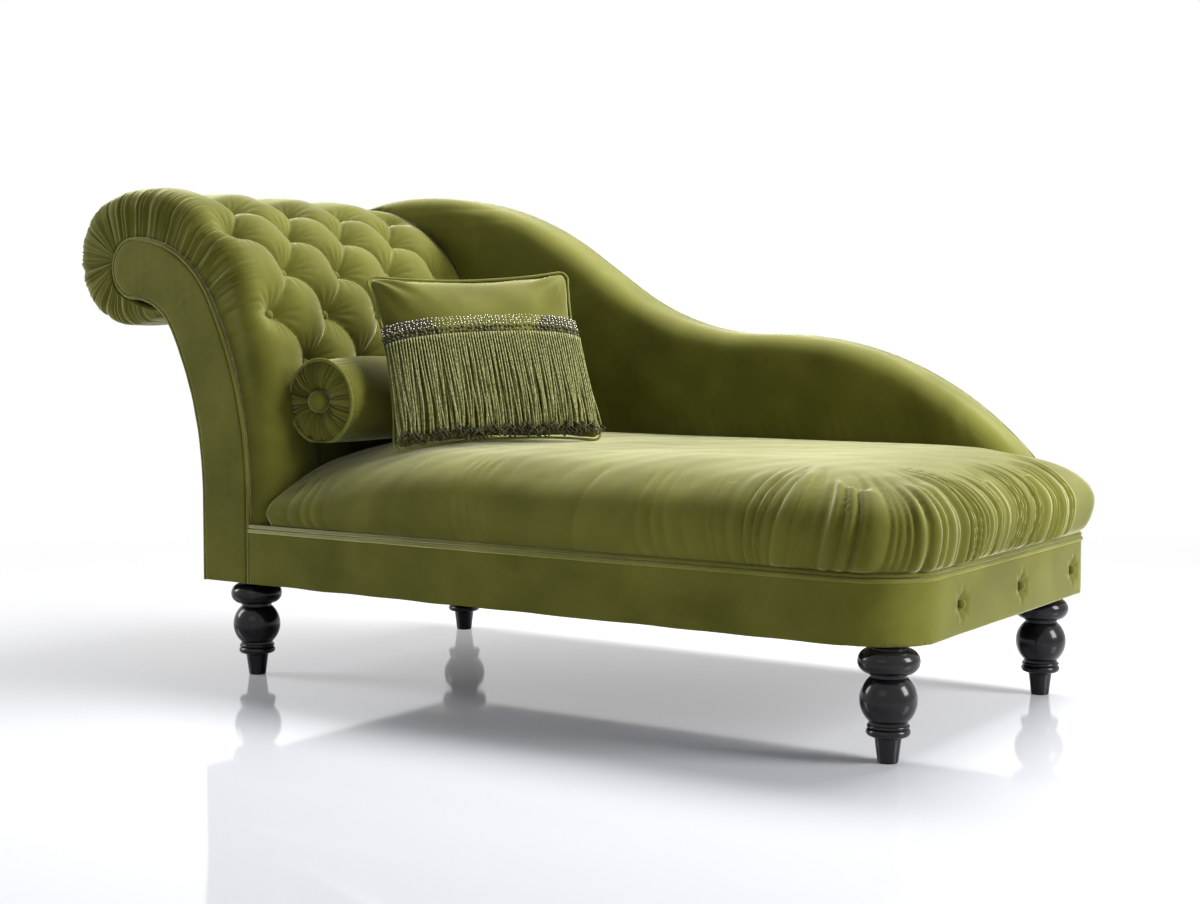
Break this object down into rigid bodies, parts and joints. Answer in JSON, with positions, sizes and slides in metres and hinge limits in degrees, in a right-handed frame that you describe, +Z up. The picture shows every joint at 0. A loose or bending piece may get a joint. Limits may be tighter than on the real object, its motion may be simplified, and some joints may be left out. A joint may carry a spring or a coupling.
{
  "type": "chaise longue",
  "caption": "Scrolled chaise longue with a deep-buttoned head, sloping long back, turned black legs, a loose bolster and a fringed throw cushion.",
  "frame": {"origin": "on the floor, under the middle of the whole chaise's box", "axes": "+Z up, +X from the scrolled head to the foot, -Y the open front"},
  "size_m": [1.7212, 0.7648, 0.889],
  "materials": {
    "velvet": "olive green cotton velvet, short pile with a pale sheen at grazing angles",
    "piping_velvet": "olive green velvet over a cord, pile worn a little paler on the crest",
    "beech": "unfinished beech",
    "plywood": "unfinished birch plywood",
    "black_wood": "turned hardwood, polished black lacquer",
    "steel": "plain zinc-bright steel",
    "dust_cloth": "thin black non-woven cloth",
    "webbing": "jute webbing",
    "foam": "open-cell upholstery foam",
    "bead_braid": "woven braid set with small silver and smoke beads",
    "fringe_yarn": "twisted olive yarn with dark tips"
  },
  "bodies": {
    "root": {"back_battens": "beech", "back_board": "plywood", "back_outside": "velvet", "back_pad": "velvet", "corner_braces": "beech", "cross_stretchers": "beech", "dust_cover": "dust_cloth", "foot_buttons": "velvet", "foot_corner_front": "beech", "foot_corner_rear": "beech", "foot_rail": "beech", "front_rail": "beech", "head_battens": "beech", "head_buttons": "velvet", "head_leg_blocks": "beech", "head_liner": "plywood", "head_outer_rail": "beech", "head_outside": "velvet", "head_pad": "velvet", "head_rail": "beech", "head_top_rail": "beech", "leg_bolts": "steel", "leg_foot_front": "black_wood", "leg_foot_rear": "black_wood", "leg_head_front": "black_wood", "leg_head_rear": "black_wood", "rail_cover": "velvet", "rear_rail": "beech", "scroll_facing_front": "velvet", "scroll_facing_rear": "velvet", "scroll_piping_front": "piping_velvet", "scroll_piping_rear": "piping_velvet", "scroll_side_front": "plywood", "scroll_side_rear": "plywood", "seat_foam": "foam", "seat_pad": "velvet", "seat_piping": "piping_velvet", "seat_webbing": "webbing"},
    "bolster": {"bolster_pad": "velvet", "bolster_piping": "piping_velvet", "bolster_buttons": "velvet"},
    "cushion": {"cushion_pad": "velvet", "cushion_piping": "piping_velvet", "cushion_braid": "bead_braid", "cushion_fringe": "fringe_yarn"}
  },
  "joints": [
    {"name": "bolster_lift", "type": "slide", "parent": "root", "child": "bolster", "axis": [0, 0, 1], "range_m": [0, 0.35]},
    {"name": "cushion_lift", "type": "slide", "parent": "bolster", "child": "cushion", "axis": [0, 0, 1], "range_m": [0, 0.45]}
  ]
}
